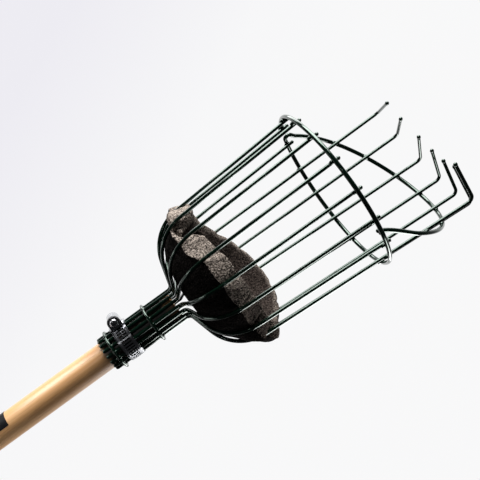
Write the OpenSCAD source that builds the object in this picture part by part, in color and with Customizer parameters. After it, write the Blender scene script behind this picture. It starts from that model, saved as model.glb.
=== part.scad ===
// Fruit picker basket: a wire basket head with seven hooked fingers, clamped on the end of a wooden
// pole. +Z runs along the pole towards the basket's mouth, the origin is the centre of the pole's
// lower end, and the hooked fingers stand on the +Y side. All sizes are in millimetres.

/* [Pole] */
// Diameter of the wooden pole
pole_d = 25; // [23:0.5:28]
// Length of pole below the wire socket
pole_below = 200; // [200:10:600]
// Length of pole inside the wire socket
pole_in_socket = 71; // [50:1:72]
// Chamfer at the pole's upper end
pole_chamfer = 1.5; // [0.5:0.5:3]
// Distance from the socket down to the label's top edge
label_drop = 100; // [60:5:120]
// Height of the blank label
label_h = 60; // [20:5:80]

/* [Wires] */
// Diameter of the basket and finger wires
wire_d = 3.2; // [2.4:0.1:3.6]
// Diameter of the rim wire
rim_wire_d = 4; // [3:0.1:4.5]
// Diameter of the two socket ring wires
ring_wire_d = 2.4; // [1.6:0.1:3]
// Number of short wires round the back of the basket
basket_wires = 9; // [9:1:9]
// Number of long wires that end in hooks
finger_wires = 7; // [7:1:7]

/* [Socket] */
// Length of the straight part of the wires that grips the pole
socket_len = 76; // [70:1:90]
// Height of the lower socket ring above the socket's lower end
ring_low_z = 7.2; // [6:0.1:9]
// Height of the upper socket ring above the socket's lower end
ring_high_z = 46.4; // [42:0.1:60]
// Running clearance between parts that move on each other
clearance = 0.3; // [0.25:0.05:0.4]

/* [Bowl] */
// Radius of the sharp bend where a wire leaves the socket
neck_bend_r = 5; // [4:0.5:8]
// Rise of the bowl's floor from square to the pole, in degrees
floor_rise = 15.5; // [10:0.5:20]
// Straight part of the bowl's floor
floor_len = 20; // [15:1:25]
// Radius of the bowl's lower corner
bowl_bend_r = 40; // [35:1:42]
// Outward lean of the basket's wall, in degrees
wall_lean = 3.9; // [2:0.1:5]
// Height of the rim wire above the neck
rim_height = 166.5; // [150:0.5:180]
// How far the short wires stand past the rim wire
stub_past_rim = 4; // [3:0.5:8]

/* [Fingers] */
// Heights of the hook bends above the neck, fingers 1 to 7
finger_height = [254, 264.7, 268.9, 270.6, 270.7, 266.9, 262];
// Inner straight part of each hook
hook_len = 33.5; // [25:0.5:38]
// Bend radius of the hooks
hook_bend_r = 5; // [4:0.5:8]
// Angle that each hook turns through
hook_turn = 93; // [88:0.5:95]
// Angle of each hook from straight inwards, fingers 1 to 7, positive towards -X on the finger side
hook_swing = [43.5, 15.5, 1.5, -7.7, -15.3, -23, -31];
// Sideways lean of the bent fingers at their hooks, fingers 1 to 7, towards +X on the finger side
finger_lean = [10, 1.9, -1.3, 2, 4.8, 3.6, 5.4];
// Height of the arch over the rim wire at the middle finger
arch_height = 79.5; // [60:0.5:85]
// Half of the angle that the arch spans
arch_half_angle = 99.6; // [95:0.1:104]

/* [Clamp] */
// Width of the clamp band
band_w = 13.5; // [9:0.5:14]
// Thickness of the clamp band
band_t = 0.7; // [0.6:0.1:1]
// Height of the band's middle above the socket's lower end
band_z = 20.5; // [18:0.5:36]
// Direction of the screw housing round the pole, in degrees from +X
housing_angle = -127; // [-180:1:180]
// Number of slots round the band
band_slots = 40; // [30:1:44]
// Diameter of the worm screw's barrel
worm_d = 8; // [6:0.5:8]
// Diameter of the screw's flange
screw_flange_d = 11; // [9:0.5:11]
// Diameter of the screw's domed head
screw_head_d = 7.6; // [6:0.1:9]

/* [Foam] */
// Thickness of the foam pad
foam_t = 15; // [8:1:16]
// Height of the foam's edge above the neck on the open side
foam_low_edge = 50; // [45:1:60]
// Height of the foam's edge above the neck on the finger side
foam_high_edge = 75; // [60:1:80]

/* [Hidden] */
// Overlap of each straight run into a bend, and the bend's extra diameter, so that they join cleanly
lap = 0.2;
bend_step = 0.02;
// Depth that crossing wires sink into each other where they are welded
weld_sink = 0.1;
wire_count = basket_wires + finger_wires;
wire_pitch = 360 / wire_count;
finger_side = 90;
fine = 48;

// Socket and bowl, measured from the pole's lower end
socket_z = pole_below;
neck_z = socket_z + socket_len;
rim_z = neck_z + rim_height;
wire_r = pole_d / 2 + clearance + wire_d / 2;
socket_outer_r = wire_r + wire_d / 2;
floor_turn = 90 - floor_rise;
wall_turn = 90 - wall_lean - floor_rise;
neck_tangent = neck_bend_r * tan(floor_turn / 2);
bowl_tangent = bowl_bend_r * tan(wall_turn / 2);
neck_corner_z = 0.8;
socket_run = socket_len + neck_corner_z - neck_tangent;
floor_span = neck_tangent + floor_len + bowl_tangent;
bowl_corner_r = wire_r + floor_span * cos(floor_rise);
bowl_corner_z = neck_corner_z + floor_span * sin(floor_rise);
// Radius of the wall wires' centre circle at a height above the neck
function wall_r(h) = bowl_corner_r + (h - bowl_corner_z) * tan(wall_lean);
// Length of a wall wire up to a height above the neck
function wall_run(h) = (h - bowl_corner_z) / cos(wall_lean) - bowl_tangent;

// Fingers
hook_tangent = hook_bend_r * tan(hook_turn / 2);
finger_tip_d = wire_d + 0.9;
stub_tip_d = wire_d + 0.4;

// Rim wire: a ring outside the wires that turns back on itself as an arch over the fingers
rim_r = wall_r(rim_height) + (wire_d + rim_wire_d) / 2 - weld_sink;
rim_start = 108;
rim_corner = 93.5;
rim_corner_r = 3.4;
rim_corner_turn = 140;
arch_from = 91;
arch_tail = -103.2;
arch_skew = 3;
arch_power = 0.88;
arch_tail_slope = 1.8;
arch_tuck_from = -82;
arch_tuck_to = -100;
tuck_gap = 0.2;
rim_sides = 12;
rim_step = 6;

// Socket rings
ring_r = socket_outer_r + ring_wire_d / 2 - weld_sink;
ring_gap = 24;
ring_gap_at = 36;
ring_inset = 4;
ring_stub = 4.5;
ring_stub_out = 22;

// Clamp
band_r = socket_outer_r + clearance;
band_outer_r = band_r + band_t;
clamp_z = socket_z + band_z;
slot_w = 1.3;
slot_h = 0.58 * band_w;
tail_angle = 46;
housing_t = 0.9;
housing_len = 13;
housing_wrap = 22;
barrel_d = worm_d + 2 * clearance + 3;
worm_r = band_outer_r + 0.6 + worm_d / 2;
screw_core_d = worm_d - 1.8;
thread_pitch = 1.6;
thread_turns = 7;
flange_t = 1.6;
head_h = 2.6;
head_steps = 8;
recess_w = 0.9;
recess_len = 3.4;
recess_depth = 1.5;

// Foam pad
foam_gap = 0.5;
foam_outer_r = bowl_bend_r - wire_d / 2 - foam_gap;
foam_inner_r = foam_outer_r - foam_t;
foam_bottom = 6;
foam_steps = 8;
bowl_center_r = bowl_corner_r + bowl_tangent * sin(wall_lean) - bowl_bend_r * cos(wall_lean);
bowl_center_z = bowl_corner_z + bowl_tangent * cos(wall_lean) + bowl_bend_r * sin(wall_lean);
foam_tilt = atan((foam_high_edge - foam_low_edge) / (2 * wall_r(foam_low_edge)));

label_t = 0.2;
label_wrap = 180;
label_from = 123;

// ---- Wire forms: each piece is drawn along +Z, and what follows starts at its far end ----

// Straight wire, lapped into the bends at its ends
module run(len, first = false, last = false) {
    low = first ? 0 : -lap;
    high = last ? len : len + lap;
    translate([0, 0, low])
        cylinder(h = high - low, d = wire_d, $fn = fine);
    translate([0, 0, len])
        children();
}

// Bend of a given radius that turns the wire towards local +X, or towards -X when turn is negative
module bend(radius, turn) {
    side = sign(turn);
    translate([side * radius, 0, 0])
        rotate([90, 0, 0])
            rotate_extrude(angle = abs(turn), start = side > 0 ? 180 - turn : 0, $fn = 2 * fine)
                translate([radius, 0])
                    circle(d = wire_d + bend_step, $fn = fine);
    translate([side * radius * (1 - cos(turn)), 0, radius * sin(abs(turn))])
        rotate([0, turn, 0])
            children();
}

// Round dipped end of a wire
module tip(d) {
    sphere(d = d, $fn = fine);
}

// Socket, neck and bowl, which every wire shares, followed by its own wall
module wire_foot(angle) {
    rotate([0, 0, angle])
        translate([wire_r, 0, socket_z])
            run(socket_run, first = true)
                bend(neck_bend_r, floor_turn)
                    run(floor_len)
                        bend(bowl_bend_r, -wall_turn)
                            children();
}

function basket_angle(i) = finger_side + 180 + wire_pitch * (i - (basket_wires + 1) / 2);
function finger_angle(i) = finger_side + wire_pitch * (i - (finger_wires + 1) / 2);
function finger_run(i) = wall_run(finger_height[i - 1]) - hook_tangent;

module basket_wire(i) {
    color([0.03, 0.05, 0.04])
        wire_foot(basket_angle(i))
            run(wall_run(rim_height + stub_past_rim))
                tip(stub_tip_d);
}

module finger_wire(i) {
    color([0.03, 0.05, 0.04])
        wire_foot(finger_angle(i))
            rotate([atan(finger_lean[i - 1] / finger_run(i)), 0, 0])
                run(finger_run(i))
                    rotate([0, 0, hook_swing[i - 1]])
                        bend(hook_bend_r, -hook_turn)
                            run(hook_len)
                                tip(finger_tip_d);
}

// ---- Rim wire ----

// Height of the arch over the rim wire, at an angle from the middle finger
function arch_h(a) =
    let (c = cos(90 * (a + arch_skew) / arch_half_angle))
    c > 0 ? arch_height * pow(c, arch_power) : arch_tail_slope * (a + arch_skew + arch_half_angle);

// 1 where the arch has tucked inside the ring, 0 where it lies outside the fingers
function tuck(a) =
    let (t = min(1, max(0, (arch_tuck_from - a) / (arch_tuck_from - arch_tuck_to))))
    t * t * (3 - 2 * t);

function arch_r(a) =
    wall_r(rim_height + max(0, arch_h(a))) + (wire_d + rim_wire_d) / 2 - weld_sink
    - tuck(a) * (rim_wire_d + tuck_gap);

// Point at an angle from the middle finger, a radius and a height over the rim
function rim_point(a, r, h) =
    [r * cos(finger_side + a), r * sin(finger_side + a), rim_z + h];

rim_arc = 360 + rim_corner - rim_start;
rim_ring_steps = ceil(rim_arc / rim_step);
arch_arc = arch_tail - arch_from;
arch_steps = ceil(-arch_arc / rim_step);
rim_path = concat(
    [for (i = [0 : rim_ring_steps]) rim_point(rim_start + rim_arc * i / rim_ring_steps, rim_r, 0)],
    [for (t = [20 : 20 : rim_corner_turn])
        rim_point(rim_corner + rim_corner_r * sin(t) / rim_r * 180 / PI, rim_r,
                  rim_corner_r * (1 - cos(t)))],
    [for (i = [0 : arch_steps])
        let (a = arch_from + arch_arc * i / arch_steps)
        rim_point(a, arch_r(a), arch_h(a))]
);

function unit(v) = v / norm(v);

// Ring of points round one point of a path, square to the path, with its first point facing outwards
function section(path, i, d) =
    let (t = unit(path[min(i + 1, len(path) - 1)] - path[max(i - 1, 0)]),
         out = unit([path[i].x, path[i].y, 0]),
         n = unit(out - (out * t) * t),
         b = cross(t, n))
    [for (k = [0 : rim_sides - 1])
        path[i] + d / 2 * (cos(360 * k / rim_sides) * n + sin(360 * k / rim_sides) * b)];

// Round wire swept along a path
module sweep(path, d) {
    rings = len(path);
    points = [for (i = [0 : rings - 1]) each section(path, i, d)];
    sides = [for (i = [0 : rings - 2], k = [0 : rim_sides - 1])
        let (a = i * rim_sides + k, b = i * rim_sides + (k + 1) % rim_sides)
        each [[a, a + rim_sides, b], [b, a + rim_sides, b + rim_sides]]];
    caps = [[for (k = [0 : rim_sides - 1]) k],
            [for (k = [rim_sides - 1 : -1 : 0]) (rings - 1) * rim_sides + k]];
    polyhedron(points, concat(sides, caps), convexity = 10);
}

module rim_wire() {
    color([0.03, 0.06, 0.04])
        sweep(rim_path, rim_wire_d);
}

// ---- Socket rings ----

module socket_ring(z) {
    color([0.03, 0.06, 0.04])
        translate([0, 0, socket_z + z])
            rotate([0, 0, ring_gap_at + ring_gap / 2]) {
                rotate_extrude(angle = 360 - ring_gap, $fn = 2 * fine)
                    translate([ring_r, 0])
                        circle(d = ring_wire_d, $fn = fine);
                ring_end(ring_inset, 1);
                ring_end(-ring_gap - ring_inset, -1);
            }
}

// Free end of a ring wire, turned outwards a little, starting inside the ring at an angle round it
module ring_end(angle, side) {
    rotate([0, 0, angle])
        translate([ring_r, 0, 0])
            rotate([side * 90, ring_stub_out, 0])
                cylinder(h = ring_stub, d = ring_wire_d - 0.15, $fn = fine);
}

module socket_ring_lower() socket_ring(ring_low_z);

module socket_ring_upper() socket_ring(ring_high_z);

// ---- Pole ----

module pole() {
    color([0.86, 0.69, 0.45])
        rotate_extrude($fn = 2 * fine)
            polygon([
                [0, 0],
                [pole_d / 2, 0],
                [pole_d / 2, pole_below + pole_in_socket - pole_chamfer],
                [pole_d / 2 - pole_chamfer, pole_below + pole_in_socket],
                [0, pole_below + pole_in_socket]
            ]);
}

module pole_label() {
    color([0.05, 0.05, 0.055])
        translate([0, 0, pole_below - label_drop - label_h])
            rotate_extrude(angle = label_wrap, start = label_from, $fn = 2 * fine)
                translate([pole_d / 2, 0])
                    square([label_t, label_h]);
}

// ---- Clamp ----

// Places its children at the worm screw: local +Z is the screw's axis, towards its head
module at_worm() {
    translate([0, 0, clamp_z])
        rotate([0, 0, housing_angle])
            translate([worm_r, 0, 0])
                rotate([-90, 0, 0])
                    children();
}

module band_layer(inner_r, height, from, wrap) {
    translate([0, 0, clamp_z - height / 2])
        rotate_extrude(angle = wrap, start = housing_angle + from, $fn = 2 * fine)
            translate([inner_r, 0])
                square([band_t, height]);
}

module clamp_band() {
    color([0.75, 0.76, 0.78])
        difference() {
            union() {
                translate([0, 0, clamp_z - band_w / 2])
                    rotate_extrude($fn = 2 * fine)
                        translate([band_r, 0])
                            square([band_t, band_w]);
                band_layer(band_outer_r - 0.05, band_w, -housing_wrap - tail_angle, tail_angle);
            }
            for (i = [1 : band_slots - 1])
                rotate([0, 0, housing_angle + i * 360 / band_slots])
                    translate([band_r - 1, -slot_w / 2, clamp_z - slot_h / 2])
                        cube([band_t + 3, slot_w, slot_h]);
        }
}

module clamp_housing() {
    saddle_r = band_outer_r + 0.05;
    color([0.8, 0.81, 0.83]) {
        difference() {
            union() {
                at_worm()
                    translate([0, 0, -housing_len / 2])
                        cylinder(h = housing_len, d = barrel_d, $fn = fine);
                translate([0, 0, clamp_z])
                    rotate([0, 0, housing_angle])
                        translate([saddle_r - 1, -housing_len / 2, -barrel_d / 2])
                            cube([worm_r - saddle_r + 1, housing_len, barrel_d]);
                translate([0, 0, clamp_z - band_w / 2 - housing_t])
                    rotate_extrude(angle = 2 * housing_wrap, start = housing_angle - housing_wrap,
                                   $fn = 2 * fine)
                        translate([saddle_r - 0.5, 0])
                            square([housing_t + 0.5, band_w + 2 * housing_t]);
            }
            at_worm()
                translate([0, 0, -housing_len])
                    cylinder(h = 2 * housing_len, d = worm_d + 2 * clearance, $fn = fine);
            translate([0, 0, clamp_z - band_w / 2 - 0.1])
                cylinder(h = band_w + 0.2, r = saddle_r, $fn = 2 * fine);
            translate([0, 0, clamp_z - band_w])
                cylinder(h = 2 * band_w, r = saddle_r - 0.5, $fn = 2 * fine);
        }
    }
}

module clamp_screw() {
    half = housing_len / 2 + clearance;
    thread_len = thread_pitch * thread_turns;
    color([0.82, 0.83, 0.85])
        at_worm() {
            translate([0, 0, -half - 1.2])
                cylinder(h = 2 * half + 1.3, d = screw_core_d, $fn = fine);
            translate([0, 0, -thread_len / 2])
                rotate_extrude($fn = fine)
                    polygon(concat(
                        [[0, 0]],
                        [for (i = [0 : thread_turns - 1]) each [
                            [screw_core_d / 2 + 0.05, i * thread_pitch],
                            [worm_d / 2, (i + 0.35) * thread_pitch],
                            [worm_d / 2, (i + 0.65) * thread_pitch]
                        ]],
                        [[screw_core_d / 2 + 0.05, thread_len], [0, thread_len]]
                    ));
            translate([0, 0, -half - 1.2])
                cylinder(h = 1.2, d = worm_d, $fn = fine);
            translate([0, 0, half])
                cylinder(h = flange_t, d = screw_flange_d, $fn = fine);
            translate([0, 0, half + flange_t - 0.1])
                difference() {
                    rotate_extrude($fn = fine)
                        polygon(concat(
                            [[0, 0], [screw_head_d / 2, 0]],
                            [for (i = [1 : head_steps - 1])
                                let (a = 90 * i / head_steps)
                                [screw_head_d / 2 * cos(a), 0.5 + (head_h - 0.5) * sin(a)]],
                            [[0, head_h]]
                        ));
                    for (turn = [0, 90])
                        rotate([0, 0, turn])
                            translate([-recess_len / 2, -recess_w / 2, head_h - recess_depth])
                                cube([recess_len, recess_w, recess_depth + 1]);
                }
        }
}

// ---- Foam pad ----

// Half section of the dish, with its floor and side rounded into each other
function dish(radius, floor_z, top_z) =
    let (turn = wall_turn)
    concat(
        [[0, floor_z]],
        [for (i = [0 : foam_steps])
            let (a = -90 + floor_rise + turn * i / foam_steps)
            [bowl_center_r + radius * cos(a), bowl_center_z + radius * sin(a)]],
        [[bowl_center_r + radius * cos(wall_lean)
            + (top_z - bowl_center_z + radius * sin(wall_lean)) * tan(wall_lean), top_z],
         [0, top_z]]
    );

module foam_pad() {
    color([0.35, 0.3, 0.28])
        translate([0, 0, neck_z])
            difference() {
                rotate_extrude($fn = 2 * fine)
                    polygon(dish(foam_outer_r, foam_bottom, foam_high_edge));
                rotate_extrude($fn = 2 * fine)
                    polygon(dish(foam_inner_r, foam_bottom + foam_t, foam_high_edge + 40));
                translate([0, 0, (foam_low_edge + foam_high_edge) / 2])
                    rotate([foam_tilt, 0, 0])
                        translate([-100, -100, 0])
                            cube([200, 200, 60]);
            }
}

pole();
pole_label();
clamp_band();
clamp_housing();
clamp_screw();
socket_ring_lower();
socket_ring_upper();
rim_wire();
foam_pad();
for (i = [1 : basket_wires])
    basket_wire(i);
for (i = [1 : finger_wires])
    finger_wire(i);
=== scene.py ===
import math

import bpy
import numpy as np
from mathutils import Matrix, Vector


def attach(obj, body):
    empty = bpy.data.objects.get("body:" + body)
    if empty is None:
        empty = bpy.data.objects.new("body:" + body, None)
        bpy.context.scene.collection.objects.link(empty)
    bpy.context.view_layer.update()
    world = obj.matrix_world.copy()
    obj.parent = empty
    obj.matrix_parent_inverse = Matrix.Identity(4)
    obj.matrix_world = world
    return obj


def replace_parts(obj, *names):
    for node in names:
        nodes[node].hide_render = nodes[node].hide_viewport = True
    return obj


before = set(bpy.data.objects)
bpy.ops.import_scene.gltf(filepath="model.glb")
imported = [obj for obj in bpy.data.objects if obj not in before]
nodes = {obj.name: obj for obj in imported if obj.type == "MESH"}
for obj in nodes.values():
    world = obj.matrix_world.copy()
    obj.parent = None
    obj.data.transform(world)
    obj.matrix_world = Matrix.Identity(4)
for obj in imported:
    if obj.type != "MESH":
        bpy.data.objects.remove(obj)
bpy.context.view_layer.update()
MM = 0.001
rng = np.random.default_rng(7)

# ---- Sizes shared with the CAD, in mm ----
NECK = 276.0
SOCKET_LEN = 76
SOCKET = NECK - SOCKET_LEN
WIRE_D, RIM_D = 3.2, 4.0
RIM_H = 166.5
STUB_PAST_RIM = 4
CORNER_R, CORNER_H, LEAN = 64.63, 14.73, math.radians(3.9)
RIM_R = 78.5
WIRE_R = 14.4
NECK_BEND_R, NECK_CORNER_H = 5.0, 0.8
FLOOR_TURN, FLOOR_LEN, WALL_TURN = 74.5, 20.0, 70.6
BOWL_R, BOWL_ARC_R, BOWL_ARC_H = 40.0, 26.65, 45.7
# Where the bowl's arc meets the straight wall: over the arc's centre, and over the neck
ARC_END, WALL_FROM = 2.7, 48.4
WIRES, PITCH = 16, 22.5
HOOK_BEND_R, HOOK_TURN, HOOK_LEN = 5.0, 93.0, 33.5
FINGER_H = [254, 264.7, 268.9, 270.6, 270.7, 266.9, 262]
FINGER_LEAN = [10, 1.9, -1.3, 2, 4.8, 3.6, 5.4]
HOOK_SWING = [43.5, 15.5, 1.5, -7.7, -15.3, -23, -31]
# The rim wire's angles are measured from the middle finger, at MIDDLE degrees from +X
MIDDLE = 90
RIM_START, RIM_CORNER, RIM_CORNER_R, RIM_CORNER_TURN = 108, 93.5, 3.4, 140
ARCH_H, ARCH_HALF, ARCH_SKEW, ARCH_POWER, ARCH_TAIL_SLOPE = 79.5, 99.6, 3, 0.88, 1.8
ARCH_FROM, ARCH_ARC = 91.0, 194.2
TUCK_FROM, TUCK_TO, TUCK_GAP, WELD_SINK = 82, 100, 0.2, 0.1
TAIL_AT, TAIL_R = 102.4, 76.4
RING_HEIGHTS, RING_GAP_AT, RING_GAP_HALF, RING_WELD_R = (7.2, 46.4), 36, 10, 16.1
# Heights of the pad's centre, under and inside, and the angle of its highest edge
PAD_UNDER, PAD_INSIDE, PAD_HIGH_AT = 6.4, 23.5, 105


def wall_r(h):
    """Radius of the wall wires' centre circle at a height over the neck."""
    return CORNER_R + (h - CORNER_H) * math.tan(LEAN)


def polar(r, angle, h):
    """Point at a radius, an angle in degrees and a height over the neck, in metres."""
    a = math.radians(angle)
    return Vector((r * math.cos(a), r * math.sin(a), NECK + h)) * MM


def smooth_step(x, a, b):
    t = min(1.0, max(0.0, (x - a) / (b - a)))
    return t * t * (3 - 2 * t)


# ---- Node material helpers ----
def new_material(name):
    mat = bpy.data.materials.new(name)
    mat.use_nodes = True
    nt = mat.node_tree
    nt.nodes.clear()
    out = nt.nodes.new("ShaderNodeOutputMaterial")
    bsdf = nt.nodes.new("ShaderNodeBsdfPrincipled")
    nt.links.new(bsdf.outputs[0], out.inputs[0])
    return mat, nt, bsdf


def add(nt, kind, **props):
    n = nt.nodes.new(kind)
    for k, v in props.items():
        if k.startswith("in_"):
            n.inputs[k[3:].replace("_", " ")].default_value = v
        else:
            setattr(n, k, v)
    return n


def grey(level):
    return (level, level, level)


def ramp(nt, source, stops):
    n = nt.nodes.new("ShaderNodeValToRGB")
    els = n.color_ramp.elements
    while len(els) < len(stops):
        els.new(0.5)
    for e, (pos, col) in zip(els, stops):
        e.position = pos
        e.color = (*col, 1.0) if len(col) == 3 else col
    nt.links.new(source, n.inputs[0])
    return n.outputs[0]


def coords(nt, scale=(1, 1, 1)):
    tc = nt.nodes.new("ShaderNodeTexCoord")
    mp = add(nt, "ShaderNodeMapping")
    mp.inputs["Scale"].default_value = scale
    nt.links.new(tc.outputs["Object"], mp.inputs["Vector"])
    return mp.outputs[0]


def noise(nt, vec, scale, detail=3.0, rough=0.5):
    n = add(nt, "ShaderNodeTexNoise", in_Scale=scale, in_Detail=detail, in_Roughness=rough)
    nt.links.new(vec, n.inputs["Vector"])
    return n.outputs["Fac"]


def bump(nt, height, bsdf, strength, distance, normal=None):
    b = add(nt, "ShaderNodeBump", in_Strength=strength, in_Distance=distance)
    nt.links.new(height, b.inputs["Height"])
    if normal is not None:
        nt.links.new(normal, b.inputs["Normal"])
    if bsdf is not None:
        nt.links.new(b.outputs[0], bsdf.inputs["Normal"])
    return b.outputs[0]


def mix_colour(nt, fac, a, b, mode="MIX"):
    n = add(nt, "ShaderNodeMix", data_type="RGBA", blend_type=mode)
    for sock, v in ((n.inputs[0], fac), (n.inputs[6], a), (n.inputs[7], b)):
        if isinstance(v, bpy.types.NodeSocket):
            nt.links.new(v, sock)
        elif isinstance(v, (tuple, list)):
            sock.default_value = (*v, 1.0)
        else:
            sock.default_value = v
    return n.outputs[2]


def enamel():
    """Dark green dipped enamel with slight runs and thickness changes."""
    mat, nt, bsdf = new_material("green_enamel")
    v = coords(nt)
    patches = noise(nt, v, 60.0, 1.0)
    nt.links.new(ramp(nt, patches, [(0.3, (0.0006, 0.004, 0.0022)), (0.7, (0.0012, 0.008, 0.0042))]),
                 bsdf.inputs["Base Color"])
    nt.links.new(ramp(nt, noise(nt, v, 35.0, 1.0), [(0.3, grey(0.07)), (0.75, grey(0.13))]),
                 bsdf.inputs["Roughness"])
    bsdf.inputs["Coat Weight"].default_value = 0.4
    bsdf.inputs["Coat Roughness"].default_value = 0.1
    bsdf.inputs["Specular IOR Level"].default_value = 0.5
    bsdf.inputs["Specular Tint"].default_value = (0.7, 1.0, 0.8, 1.0)
    bump(nt, noise(nt, v, 45.0, 0.0), bsdf, 0.04, 0.0005)
    return mat


def wood():
    """Turned wooden pole: long grain along Z, darkened inside the socket by painted shade."""
    mat, nt, bsdf = new_material("pole_wood")
    long_grain = noise(nt, coords(nt, (230, 230, 6)), 1.0, 5.0, 0.6)
    broad = noise(nt, coords(nt, (45, 45, 3)), 1.0, 3.0)
    pores = noise(nt, coords(nt, (1400, 1400, 45)), 1.0, 2.0)
    base = ramp(nt, long_grain, [(0.25, (0.42, 0.18, 0.05)), (0.5, (0.58, 0.31, 0.12)),
                                 (0.75, (0.7, 0.44, 0.22))])
    warmth = ramp(nt, broad, [(0.35, grey(0)), (0.75, grey(0.45))])
    warm = mix_colour(nt, warmth, base, (0.5, 0.25, 0.09))
    in_pores = ramp(nt, pores, [(0.30, grey(0.35)), (0.42, grey(0))])
    pore_dark = mix_colour(nt, in_pores, warm, (0.22, 0.1, 0.035))
    # Painted shade darkens the wood inside the socket, between the wires: it fades in just below the socket
    # and out near the pole's top end
    tc = nt.nodes.new("ShaderNodeTexCoord")
    sep = nt.nodes.new("ShaderNodeSeparateXYZ")
    nt.links.new(tc.outputs["Object"], sep.inputs[0])
    shade_margin = 25
    up_pole = add(nt, "ShaderNodeMapRange")
    up_pole.inputs["From Min"].default_value = (SOCKET - shade_margin) * MM
    up_pole.inputs["From Max"].default_value = NECK * MM
    nt.links.new(sep.outputs[2], up_pole.inputs["Value"])
    socket_shade = ramp(nt, up_pole.outputs[0], [(0.0, grey(0)), (0.24, grey(0.35)), (0.27, grey(0.97)),
                                          (0.84, grey(0.97)), (0.9, grey(0.1))])
    # Near-black colour of the painted shade inside the socket
    done = mix_colour(nt, socket_shade, pore_dark, (0.03, 0.016, 0.008))
    nt.links.new(done, bsdf.inputs["Base Color"])
    nt.links.new(ramp(nt, long_grain, [(0.2, grey(0.42)), (0.8, grey(0.62))]), bsdf.inputs["Roughness"])
    bsdf.inputs["Coat Weight"].default_value = 1.0
    bsdf.inputs["Coat IOR"].default_value = 1.8
    bsdf.inputs["Coat Roughness"].default_value = 0.28
    bump(nt, pores, bsdf, 0.25, 0.0004)
    return mat


def steel(name, tint, rough_low, rough_high, scratch):
    """Bright steel with patches and fine scratches, drawn out on the axes of low scratch scale."""
    mat, nt, bsdf = new_material(name)
    bsdf.inputs["Metallic"].default_value = 1.0
    patches = noise(nt, coords(nt), 140.0, 4.0)
    lines = noise(nt, coords(nt, scratch), 1.0, 3.0)
    dark = tuple(0.72 * c for c in tint)
    nt.links.new(ramp(nt, patches, [(0.3, dark), (0.65, tint)]), bsdf.inputs["Base Color"])
    roughness = ramp(nt, lines, [(0.3, grey(rough_low)), (0.7, grey(rough_high))])
    nt.links.new(roughness, bsdf.inputs["Roughness"])
    bump(nt, lines, bsdf, 0.08, 0.0003)
    return mat


def foam():
    """Open-cell foam: pale and dark brown-grey grain with dense dark pores.

    A point value paints light and shade into it: 0 for the underside, in painted shadow, 0.5 for the inner
    wall, in painted shade, 1 for the lit cut edge.
    """
    mat, nt, bsdf = new_material("foam_cells")
    v = coords(nt)
    cells = add(nt, "ShaderNodeTexVoronoi", in_Scale=620.0, feature="F1")
    nt.links.new(v, cells.inputs["Vector"])
    big = add(nt, "ShaderNodeTexVoronoi", in_Scale=400.0, feature="F1")
    nt.links.new(v, big.inputs["Vector"])
    grain = noise(nt, v, 600.0, 3.0, 0.75)
    soft = noise(nt, v, 45.0, 3.0)
    pore = ramp(nt, cells.outputs["Distance"], [(0.12, (1, 1, 1)), (0.42, grey(0.3))])
    pore_big = ramp(nt, big.outputs["Distance"], [(0.1, (1, 1, 1)), (0.36, (0, 0, 0))])
    body = ramp(nt, grain, [(0.4, (0.08, 0.066, 0.056)), (0.6, (0.66, 0.56, 0.48))])
    in_patches = ramp(nt, soft, [(0.35, grey(0)), (0.7, grey(0.3))])
    tinted = mix_colour(nt, in_patches, body, (0.16, 0.13, 0.11))
    holes = mix_colour(nt, pore, tinted, (0.012, 0.01, 0.009))
    in_big = ramp(nt, big.outputs["Distance"], [(0.14, grey(0.95)), (0.36, grey(0))])
    final = mix_colour(nt, in_big, holes, (0.006, 0.005, 0.005))
    # Painted shade: the underside's colour is multiplied by 0.04, the inner wall's by 0.13 and the lit cut
    # edge's by 0.85
    edge = add(nt, "ShaderNodeAttribute", attribute_name="painted_light_level")
    shade = ramp(nt, edge.outputs["Fac"], [(0.0, (0.04, 0.04, 0.043)), (0.5, (0.13, 0.12, 0.12)),
                                           (1.0, grey(0.85))])
    nt.links.new(mix_colour(nt, 1.0, final, shade, "MULTIPLY"), bsdf.inputs["Base Color"])
    bsdf.inputs["Roughness"].default_value = 0.95
    bsdf.inputs["Specular IOR Level"].default_value = 0.02
    first = bump(nt, cells.outputs["Distance"], None, 0.9, 0.0009)
    bump(nt, pore_big, bsdf, -0.7, 0.0012, first)
    return mat


def label_film():
    """Blank black label film with a slight sheen."""
    mat, nt, bsdf = new_material("label_film")
    v = coords(nt)
    nt.links.new(ramp(nt, noise(nt, v, 90.0), [(0.3, (0.003, 0.003, 0.0035)), (0.7, (0.007, 0.007, 0.008))]),
                 bsdf.inputs["Base Color"])
    roughness = ramp(nt, noise(nt, v, 160.0), [(0.3, grey(0.35)), (0.7, grey(0.5))])
    nt.links.new(roughness, bsdf.inputs["Roughness"])
    bsdf.inputs["Specular IOR Level"].default_value = 0.25
    return mat


def floor_paint():
    """Slightly uneven grey paint for the stage's disc."""
    mat, nt, bsdf = new_material("pale_floor")
    colour = ramp(nt, noise(nt, coords(nt), 14.0), [(0.3, (0.34, 0.34, 0.35)), (0.7, (0.37, 0.37, 0.38))])
    nt.links.new(colour, bsdf.inputs["Base Color"])
    bsdf.inputs["Roughness"].default_value = 0.7
    return mat


ENAMEL = enamel()
WOOD = wood()
BAND_STEEL = steel("band_steel", (0.62, 0.63, 0.66), 0.1, 0.26, (50, 50, 1500))
SCREW_STEEL = steel("screw_steel", (0.5, 0.5, 0.52), 0.16, 0.34, (900, 900, 60))
FOAM = foam()
LABEL = label_film()
FLOOR = floor_paint()


# ---- Mesh helpers ----
def make_mesh(name, verts, faces, mat, smooth=True):
    me = bpy.data.meshes.new(name)
    me.from_pydata([tuple(v) for v in verts], [], faces)
    me.validate()
    me.update()
    me.materials.append(mat)
    if smooth:
        me.polygons.foreach_set("use_smooth", [True] * len(me.polygons))
    obj = bpy.data.objects.new(name, me)
    bpy.context.scene.collection.objects.link(obj)
    return obj


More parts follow.
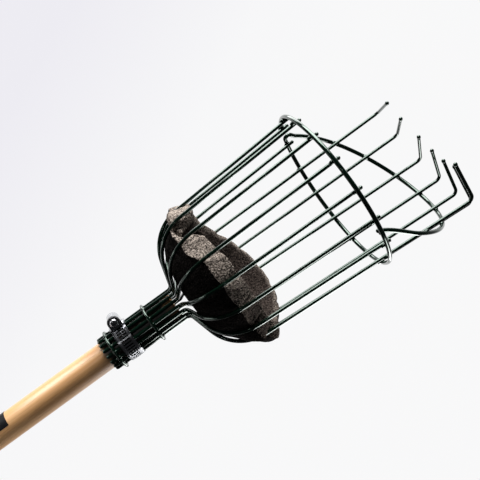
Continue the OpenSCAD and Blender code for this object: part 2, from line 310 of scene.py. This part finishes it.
def tube(path, radius, sides=24):
    """Vertices and faces of a round-ended wire along a list of points."""
    pts = [Vector(p) for p in path]
    n = len(pts)
    tangents = [(pts[min(i + 1, n - 1)] - pts[max(i - 1, 0)]).normalized() for i in range(n)]
    up = Vector((pts[0].x, pts[0].y, 0)).normalized()
    verts, faces, rings = [], [], []
    for t in (80, 60, 40, 20):
        rings.append((pts[0] - tangents[0] * radius * math.sin(math.radians(t)), tangents[0],
                      radius * math.cos(math.radians(t))))
    rings += [(p, t, radius) for p, t in zip(pts, tangents)]
    for t in (20, 40, 60, 80):
        rings.append((pts[-1] + tangents[-1] * radius * math.sin(math.radians(t)), tangents[-1],
                      radius * math.cos(math.radians(t))))
    for c, t, r in rings:
        up = (up - up.dot(t) * t).normalized()
        side = t.cross(up)
        for k in range(sides):
            a = 2 * math.pi * k / sides
            verts.append(c + r * (math.cos(a) * up + math.sin(a) * side))
    for i in range(len(rings) - 1):
        for k in range(sides):
            a, b = i * sides + k, i * sides + (k + 1) % sides
            faces.append((a, b, b + sides, a + sides))
    faces.append(tuple(range(sides - 1, -1, -1)))
    last = (len(rings) - 1) * sides
    faces.append(tuple(last + k for k in range(sides)))
    return verts, faces


def blob(centre, axes, radii, rows=8, cols=12):
    """An ellipsoid of weld metal under paint, a little lumpy."""
    verts, faces = [], []
    bumps = rng.uniform(-0.12, 0.12, (rows + 1, cols))
    for i in range(rows + 1):
        t = math.pi * i / rows
        for k in range(cols):
            p = 2 * math.pi * k / cols
            lump = 1 + bumps[i, k] * math.sin(t)
            d = (math.cos(t), math.sin(t) * math.cos(p), math.sin(t) * math.sin(p))
            verts.append(centre + sum((axes[j] * (radii[j] * d[j] * lump) for j in range(3)), Vector()))
    for i in range(rows):
        for k in range(cols):
            a, b = i * cols + k, i * cols + (k + 1) % cols
            faces.append((a, a + cols, b + cols, b))
    return verts, faces


def enamelled(name, parts):
    """Join parts into one enamelled piece that moves with the basket."""
    verts, faces = [], []
    for v, f in parts:
        base = len(verts)
        verts += v
        faces += [tuple(base + i for i in face) for face in f]
    piece = make_mesh(name, verts, faces, ENAMEL)
    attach(piece, "basket")
    return piece


# ---- Long wires: smooth versions of the CAD's runs and bends ----
def run_points(place, length, step=7.0):
    """Points along a straight run, and the frame at its end."""
    n = max(2, round(length / step))
    pts = [place @ Vector((0, 0, length * i / n)) for i in range(1, n + 1)]
    return pts, place @ Matrix.Translation((0, 0, length))


def bend_points(place, radius, turn_deg):
    """Points round a bend, and the frame at its end. A positive turn bends towards +X."""
    side = math.copysign(1, turn_deg)
    total = math.radians(abs(turn_deg))
    n = max(6, round(abs(turn_deg) / 5))
    pts = []
    for i in range(1, n + 1):
        t = total * i / n
        pts.append(place @ Vector((side * radius * (1 - math.cos(t)), 0, radius * math.sin(t))))
    end = Vector((side * radius * (1 - math.cos(total)), 0, radius * math.sin(total)))
    return pts, place @ Matrix.Translation(end) @ Matrix.Rotation(side * total, 4, "Y")


def wire_parts(angle, finger=None):
    """Tube and end bead of the wire at an angle: a basket wire, or the finger with this index."""
    socket_run = SOCKET_LEN + NECK_CORNER_H - NECK_BEND_R * math.tan(math.radians(FLOOR_TURN / 2))
    bowl_tangent = BOWL_R * math.tan(math.radians(WALL_TURN / 2))
    place = Matrix.Rotation(math.radians(angle), 4, "Z") @ Matrix.Translation((WIRE_R, 0, SOCKET))
    pts = [place @ Vector((0, 0, 0))]
    more, place = run_points(place, socket_run)
    pts += more
    more, place = bend_points(place, NECK_BEND_R, FLOOR_TURN)
    pts += more
    more, place = run_points(place, FLOOR_LEN)
    pts += more
    more, place = bend_points(place, BOWL_R, -WALL_TURN)
    pts += more
    if finger is None:
        length = (RIM_H + STUB_PAST_RIM - CORNER_H) / math.cos(LEAN) - bowl_tangent
        more, place = run_points(place, length)
        pts += more
        tip = (1.8, 1.8, 1.9)
    else:
        hook_tangent = HOOK_BEND_R * math.tan(math.radians(HOOK_TURN / 2))
        length = (FINGER_H[finger] - CORNER_H) / math.cos(LEAN) - bowl_tangent - hook_tangent
        place = place @ Matrix.Rotation(math.atan(FINGER_LEAN[finger] / length), 4, "X")
        more, place = run_points(place, length)
        pts += more
        place = place @ Matrix.Rotation(math.radians(HOOK_SWING[finger]), 4, "Z")
        more, place = bend_points(place, HOOK_BEND_R, -HOOK_TURN)
        pts += more
        more, place = run_points(place, HOOK_LEN, 3.0)
        pts += more
        tip = (1.95, 1.95, 2.05)
    pts = [q * MM for q in pts]
    axes = [place.to_3x3() @ Vector(v) for v in ((1, 0, 0), (0, 1, 0), (0, 0, 1))]
    return [tube(pts, WIRE_D / 2 * MM), blob(pts[-1], axes, [t * MM for t in tip], 10, 16)]


BASKET_WIRES = 9
for i in range(WIRES):
    angle = PITCH * (i - 8)
    finger = i - BASKET_WIRES if i >= BASKET_WIRES else None
    node = f"basket_wire_{i + 1}" if finger is None else f"finger_wire_{finger + 1}"
    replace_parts(enamelled(node + "_smooth", wire_parts(angle, finger)), node)


# ---- Rim wire: smooth version of the CAD sweep ----
def arch_h(a):
    """Height of the arch over the rim at an angle from the middle finger."""
    c = math.cos(math.radians(90 * (a + ARCH_SKEW) / ARCH_HALF))
    return ARCH_H * c ** ARCH_POWER if c > 0 else ARCH_TAIL_SLOPE * (a + ARCH_SKEW + ARCH_HALF)


def tuck(a):
    """1 where the arch has tucked inside the ring, 0 where it lies outside the fingers."""
    return smooth_step(-a, TUCK_FROM, TUCK_TO)


def arch_r(a):
    outside = wall_r(RIM_H + max(0, arch_h(a))) + (WIRE_D + RIM_D) / 2 - WELD_SINK
    return outside - tuck(a) * (RIM_D + TUCK_GAP)


def rim_path():
    """The rim's arc, the corner where it turns back, and the arch."""
    arc_steps, arch_steps = 240, 162
    arc = 360 + RIM_CORNER - RIM_START
    pts = []
    for i in range(arc_steps + 1):
        pts.append(polar(RIM_R, MIDDLE + RIM_START + arc * i / arc_steps, RIM_H))
    for t in range(7, RIM_CORNER_TURN + 1, 7):
        past = math.degrees(RIM_CORNER_R * math.sin(math.radians(t)) / RIM_R)
        rise = RIM_CORNER_R * (1 - math.cos(math.radians(t)))
        pts.append(polar(RIM_R, MIDDLE + RIM_CORNER + past, RIM_H + rise))
    for i in range(arch_steps + 1):
        a = ARCH_FROM - ARCH_ARC * i / arch_steps
        pts.append(polar(arch_r(a), MIDDLE + a, RIM_H + arch_h(a)))
    return pts


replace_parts(enamelled("rim_wire_smooth", [tube(rim_path(), RIM_D / 2 * MM)]), "rim_wire")

# ---- Welds under the paint ----
UP = Vector((0, 0, 1))


def frame_at(angle):
    """Outward and sideways directions at an angle."""
    a = math.radians(angle)
    return Vector((math.cos(a), math.sin(a), 0)), Vector((-math.sin(a), math.cos(a), 0))


def weld(centre, axes, radii, rows=8, cols=12):
    return blob(centre, axes, [r * MM for r in radii], rows, cols)


def leaned(angle, h):
    """Degrees that a wire has leaned by, at a height over the neck."""
    finger = round((angle % 360 - MIDDLE) / PITCH) + 4
    if not 1 <= finger <= 7:
        return 0.0
    share = max(0.0, (h - WALL_FROM) / (FINGER_H[finger - 1] - WALL_FROM))
    return -math.degrees(FINGER_LEAN[finger - 1] * share / wall_r(h))


parts = []
for i in range(WIRES):
    angle = PITCH * i + leaned(PITCH * i, RIM_H)
    out, side = frame_at(angle)
    drop = rng.uniform(-1.2, -0.4)
    centre = polar(wall_r(RIM_H) + WIRE_D / 2 - 0.2, angle, RIM_H + drop)
    parts.append(weld(centre, (UP, side, out), (rng.uniform(3.2, 4.4), 2.15, 1.9)))
enamelled("rim_welds", parts)

parts = []
for i in range(1, 8):
    a = PITCH * (i - 4)
    a += leaned(MIDDLE + a, RIM_H + arch_h(a))
    out, side = frame_at(MIDDLE + a)
    h = RIM_H + arch_h(a)
    slope = (arch_h(a + 1) - arch_h(a - 1)) / (2 * math.radians(1) * arch_r(a))
    along = (side + UP * slope).normalized()
    across = out.cross(along).normalized()
    centre = polar(wall_r(h) + WIRE_D / 2, MIDDLE + a, h)
    parts.append(weld(centre, (along, across, out), (2.9, 2.5, 1.6)))
tail_out, tail_side = frame_at(MIDDLE - TAIL_AT)
tail_end = polar(TAIL_R, MIDDLE - TAIL_AT, RIM_H)
parts.append(weld(tail_end, (tail_side, UP, tail_out), (3.4, 2.4, 1.6)))
enamelled("arch_welds", parts)

parts = []
for ring_z in RING_HEIGHTS:
    for i in range(WIRES):
        angle = PITCH * i
        # The rings are open at the gap, so no wire is welded there
        if abs((angle - RING_GAP_AT + 180) % 360 - 180) < RING_GAP_HALF:
            continue
        out, side = frame_at(angle)
        c = polar(RING_WELD_R, angle, -SOCKET_LEN + ring_z + rng.uniform(-0.3, 0.3))
        parts.append(weld(c, (UP, side, out), (rng.uniform(1.7, 2.2), 1.5, 0.8), 6, 10))
enamelled("socket_welds", parts)


# ---- Foam pad ----
def turn(angle, centre):
    """Signed difference of two angles in degrees."""
    return (angle - centre + 180) % 360 - 180


def hill(x, centre, width):
    """1 at the centre, falling smoothly to 0 at the width on each side."""
    d = abs(x - centre) / width
    return (1 + math.cos(math.pi * d)) / 2 if d < 1 else 0.0


def round_hill(angle, centre, width):
    return hill(turn(angle, centre), 0, width)


def catmull(pts, steps):
    """Points along a smooth curve through the given ones, with this many steps to each span."""
    out = []
    ext = [2 * pts[0] - pts[1]] + list(pts) + [2 * pts[-1] - pts[-2]]
    for i in range(1, len(ext) - 2):
        p0, p1, p2, p3 = ext[i - 1:i + 3]
        for s in range(steps):
            t = s / steps
            out.append(0.5 * (2 * p1 + (p2 - p0) * t + (2 * p0 - 5 * p1 + 4 * p2 - p3) * t * t
                              + (3 * p1 - p0 - 3 * p2 + p3) * t ** 3))
    out.append(pts[-1])
    return out


def wire_inner(h):
    """Radius of the wires' inner side at a height over the neck."""
    if h < BOWL_ARC_H + ARC_END:
        d = BOWL_ARC_H - h
        return BOWL_ARC_R + math.sqrt(max(0.0, (BOWL_R - WIRE_D / 2) ** 2 - d * d))
    return wall_r(h) - WIRE_D / 2


def wire_near(angle):
    """Degrees from an angle to the nearest wire."""
    return (angle / PITCH - round(angle / PITCH)) * PITCH


def edge_top(angle):
    """Height of the pad's edge: high on the finger side, low on the open side."""
    h = 53 + 25 * max(0.0, math.cos(math.radians(turn(angle, PAD_HIGH_AT)))) ** 1.5
    h += 2 * round_hill(angle, -145, 30) - 20 * round_hill(angle, -104, 17) - 5 * round_hill(angle, -84, 26)
    return h - 1.0 * math.exp(-(wire_near(angle) / 4) ** 2)


def edge_low(angle, far):
    """Height of the lower corner of the pad's cut edge."""
    near = 36.5 - 8.5 * smooth_step(-turn(angle, 0), 60, 84) + 11 * round_hill(angle, -145, 36)
    near += 1.0 * math.exp(-(wire_near(angle) / 4.5) ** 2)
    near = min(near, edge_top(angle) - 5)
    return near * (1 - far) + (edge_top(angle) - 7) * far


def puff(angle, h):
    """How far the pad swells out between two wires, in mm: each gap between wires has its own bulge."""
    a = angle % 360
    sector = math.floor(a / PITCH) * PITCH
    t = (a - sector) / PITCH
    soft = math.sin(math.pi * t) ** 0.7
    if sector == 0:
        return 9.5 * (1 - abs(2 * t - 1.15)) * max(0.0, 1 - abs(h - 37) / 19) + 1.5 * soft
    if sector == 22.5:
        return 10.0 * soft * hill(h, 47, 24)
    if sector == 45:
        return 3.5 * soft * hill(h, 50, 25)
    if sector in (180, 202.5, 225):
        return (5.5 + 2.0 * soft) * smooth_step(h, 26, 37)
    if sector == 247.5:
        return 2.2 * soft * smooth_step(h, 20, 30)
    if 270 <= sector <= 337.5:
        return 1.3 * soft
    return 0.8 * soft


def foam_profile(angle):
    """Half-section of the pad at an angle: (r, h) from the bottom centre round to the inside centre."""
    far = smooth_step(0.5 * (1 + math.cos(math.radians(turn(angle, PAD_HIGH_AT)))), 0.32, 0.72)
    # 1 where the pad sits lowest and fullest, 0 opposite
    full_at = 38
    u = 0.5 * (1 + math.cos(math.radians(turn(angle, full_at))))
    top = edge_top(angle)
    low = edge_low(angle, far)
    r_low = wire_inner(low) - 0.3
    mid_h = (18.7 + low) / 2
    r_mid = wire_inner(mid_h) - 1.0 - 3.2 * (1 - u) * (1 - far)
    r_top = wire_inner(top) - 7.5 * (1 - far) - 6.0 * far
    pts = [(0.0, PAD_UNDER), (14.5, 6.9), (33.0, 10.4 - 2.4 * u), (47.0, 17.8 - 3.2 * u), (r_mid, mid_h)]
    pts += [(r_low - 0.9, low - 1.4), (r_low - 0.2, low + 0.4)]
    pts += [(r_low * 0.45 + r_top * 0.55 + 0.4, low * 0.45 + top * 0.55), (r_top, top - 0.5)]
    pts += [(r_top - 1.6, top + 0.1), (r_top - 6.0, top - 4.5)]
    pts += [(48.5, 43 + 9 * far), (41, 34 + 3 * far), (22, 26), (0.0, PAD_INSIDE)]
    return [Vector(p) for p in pts]


def foam_pad():
    """The folded pad: a profile swept round the axis, swollen between the wires and pinched at them."""
    steps, spans, per = 720, 14, 7
    verts, faces, cut = [], [], []
    n = spans * per + 1
    phase = rng.uniform(0, 6.28, 6)
    jitter = rng.normal(0, 0.11, (steps, n, 3))
    for k in range(steps):
        angle = 360 * k / steps
        a = math.radians(angle)
        prof = catmull(foam_profile(angle), per)
        pinch = math.exp(-(wire_near(angle) / 2.6) ** 2)
        fold = smooth_step(turn(angle, -156), 0, 10) * smooth_step(-turn(angle, -92), 0, 6)
        groove_h = 30 + 0.045 * max(0.0, turn(angle, -122)) ** 1.5
        # Painted shade: the cut edge is darker at the lower right as the camera sees it, from about 5 to 60
        # degrees
        shaded_side = 1 - 0.32 * smooth_step(turn(angle, 30), -60, -25) * smooth_step(-turn(angle, 30), -70, -30)
        for j in range(1, n - 1):
            r, h = prof[j].x, prof[j].y
            # Swelling and folds fade out on the inside and towards the bottom centre
            outer = 1.0 if j <= 8 * per else max(0.0, 1 - (j - 8 * per) / (2.0 * per))
            k_r = smooth_step(r, 46, 58)
            swell = (puff(angle, h) - 1.0 * pinch) * k_r * outer
            swell -= 6.0 * fold * math.exp(-((h - groove_h) / 1.5) ** 2) * k_r * outer
            wob = 0.5 * math.sin(3 * a + phase[0] + 0.1 * h) + 0.4 * math.sin(8 * a + phase[1] - 0.13 * h)
            lift = 0.5 * math.sin(5 * a + phase[2]) * smooth_step(r, 20, 50)
            p = polar(r + swell + wob * smooth_step(r, 20, 50) * 0.8, angle, h + lift + 0.1 * swell)
            verts.append(p + Vector(jitter[k, j]) * MM)
            # Painted light level of each point: 1 on the lit cut edge, 0.5 on the inner wall and 0 on the
            # underside, both in painted shade
            band = smooth_step(j, 5.2 * per, 6.0 * per) * (1 - 0.5 * smooth_step(j, 9.0 * per, 10.0 * per))
            # The cut edge's painted light level is capped by that painted shade
            cut.append(min(band, shaded_side))
    m = n - 2
    for k in range(steps):
        k2 = (k + 1) % steps
        for j in range(m - 1):
            faces.append((k * m + j, k2 * m + j, k2 * m + j + 1, k * m + j + 1))
    low_i, top_i = len(verts), len(verts) + 1
    verts.append(polar(0, 0, PAD_UNDER))
    verts.append(polar(0, 0, PAD_INSIDE))
    # The bottom centre gets the underside's painted shadow, the inside centre the inner wall's painted shade
    cut += [0.0, 0.5]
    for k in range(steps):
        k2 = (k + 1) % steps
        faces.append((low_i, k2 * m, k * m))
        faces.append((top_i, k * m + m - 1, k2 * m + m - 1))
    obj = make_mesh("foam_liner", verts, faces, FOAM)
    layer = obj.data.attributes.new("painted_light_level", "FLOAT", "POINT")
    layer.data.foreach_set("value", cut)
    return obj


pad = foam_pad()
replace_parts(pad, "foam_pad")
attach(pad, "basket")

# ---- Looks of the CAD pieces ----
LOOKS = {"pole": WOOD, "pole_label": LABEL, "clamp_band": BAND_STEEL, "clamp_housing": BAND_STEEL,
         "clamp_screw": SCREW_STEEL}
for name, obj in nodes.items():
    mat = LOOKS.get(name, ENAMEL)
    obj.data.materials.clear()
    obj.data.materials.append(mat)

# ---- Stage, light and camera ----
scene = bpy.context.scene
DISC_SIDES, DISC_R, DISC_Z = 96, 0.13, -0.0005
disc = []
for k in range(DISC_SIDES):
    a = 2 * math.pi * k / DISC_SIDES
    disc.append(Vector((DISC_R * math.cos(a), DISC_R * math.sin(a), DISC_Z)))
floor = make_mesh("floor", disc, [tuple(range(DISC_SIDES))], FLOOR, smooth=False)

# Level directions: roughly from the object towards the camera, and to the camera's right
TOWARDS = Vector((0.6170, -0.7869, 0.0))
RIGHT = Vector((0.7869, 0.6170, 0.0))


def camera_frame():
    """The camera's right, up and back directions and its place, as fitted to the photo."""
    def vec(r, n, a):
        return RIGHT * r + TOWARDS * n + UP * a
    right = vec(0.58598, 0.05467, 0.80848)
    up = vec(-0.81033, 0.03953, 0.58464)
    back = -vec(0.0, -0.99772, 0.06747)
    place = Vector((428.8, -568.3, NECK + 25.66)) * MM
    return right, up, back, place


right, up, back, place = camera_frame()
cam_data = bpy.data.cameras.new("camera")
cam_data.lens = 61.11
cam_data.sensor_width = 36.0
cam = bpy.data.objects.new("camera", cam_data)
m = Matrix((right, up, back)).transposed().to_4x4()
m.translation = place
cam.matrix_world = m
cam_data.clip_start, cam_data.clip_end = 0.01, 50
scene.collection.objects.link(cam)
scene.camera = cam

target = polar(0, 0, 80)


def area(name, direction, distance, size, watts, aim=target):
    """A white area light, aimed back along a direction from the aim point."""
    data = bpy.data.lights.new(name, "AREA")
    data.shape = "RECTANGLE"
    data.size, data.size_y = size
    data.energy = watts
    obj = bpy.data.objects.new(name, data)
    obj.location = aim + direction.normalized() * distance
    obj.rotation_mode = "QUATERNION"
    obj.rotation_quaternion = (obj.location - aim).to_track_quat("Z", "Y")
    scene.collection.objects.link(obj)


area("key", up * 1.0 + back * 0.2 - right * 0.12, 1.1, (0.8, 1.1), 38)
area("edge", up * 1.0 - back * 0.55 - right * 0.1, 1.1, (0.6, 1.5), 12)
area("side_card", right * 0.5 - up * 0.75 - back * 0.42, 1.0, (1.0, 0.4), 12)
area("front", back * 1.0 + up * 0.1 - right * 0.35, 1.6, (0.05, 0.05), 0.25)
# A small card close to the pole: it lights mostly the pole, and a little of the clamp and wires
area("pole_card", up * 0.81 - right * 0.59 + back * 0.3, 0.14, (0.08, 0.08), 0.1, aim=polar(0, 0, -150))

# World: it lights as white studio behind the object and a dark room in front of it, and the camera
# sees a pale gradient instead
world = bpy.data.worlds.new("studio")
scene.world = world
world.use_nodes = True
nt = world.node_tree
nt.nodes.clear()
out = nt.nodes.new("ShaderNodeOutputWorld")
tc = nt.nodes.new("ShaderNodeTexCoord")
dot = add(nt, "ShaderNodeVectorMath", operation="DOT_PRODUCT")
nt.links.new(tc.outputs["Generated"], dot.inputs[0])
dot.inputs[1].default_value = (-back + up * 0.3).normalized()
glow = add(nt, "ShaderNodeMapRange")
glow.inputs["From Min"].default_value = -1.0
nt.links.new(dot.outputs["Value"], glow.inputs["Value"])
light = nt.nodes.new("ShaderNodeBackground")
nt.links.new(ramp(nt, glow.outputs[0], [(0.0, (0.012, 0.012, 0.013)), (0.62, (0.02, 0.02, 0.022)),
                                        (0.76, grey(0.2)), (0.88, grey(1.0))]), light.inputs["Color"])
light.inputs["Strength"].default_value = 1.0
seen = nt.nodes.new("ShaderNodeBackground")
tilt = nt.nodes.new("ShaderNodeVectorMath")
tilt.operation = "DOT_PRODUCT"
nt.links.new(tc.outputs["Generated"], tilt.inputs[0])
tilt.inputs[1].default_value = -right + up * 0.6
nt.links.new(ramp(nt, tilt.outputs["Value"], [(0.0, (0.94, 0.94, 0.945)), (0.14, (0.93, 0.93, 0.94)),
                                              (0.36, (0.85, 0.84, 0.89))]), seen.inputs["Color"])
seen.inputs["Strength"].default_value = 1.0
path = nt.nodes.new("ShaderNodeLightPath")
mixer = nt.nodes.new("ShaderNodeMixShader")
nt.links.new(path.outputs["Is Camera Ray"], mixer.inputs[0])
nt.links.new(light.outputs[0], mixer.inputs[1])
nt.links.new(seen.outputs[0], mixer.inputs[2])
nt.links.new(mixer.outputs[0], out.inputs[0])

scene.view_settings.view_transform = "Standard"
scene.view_settings.look = "None"
scene.view_settings.exposure = 0.0
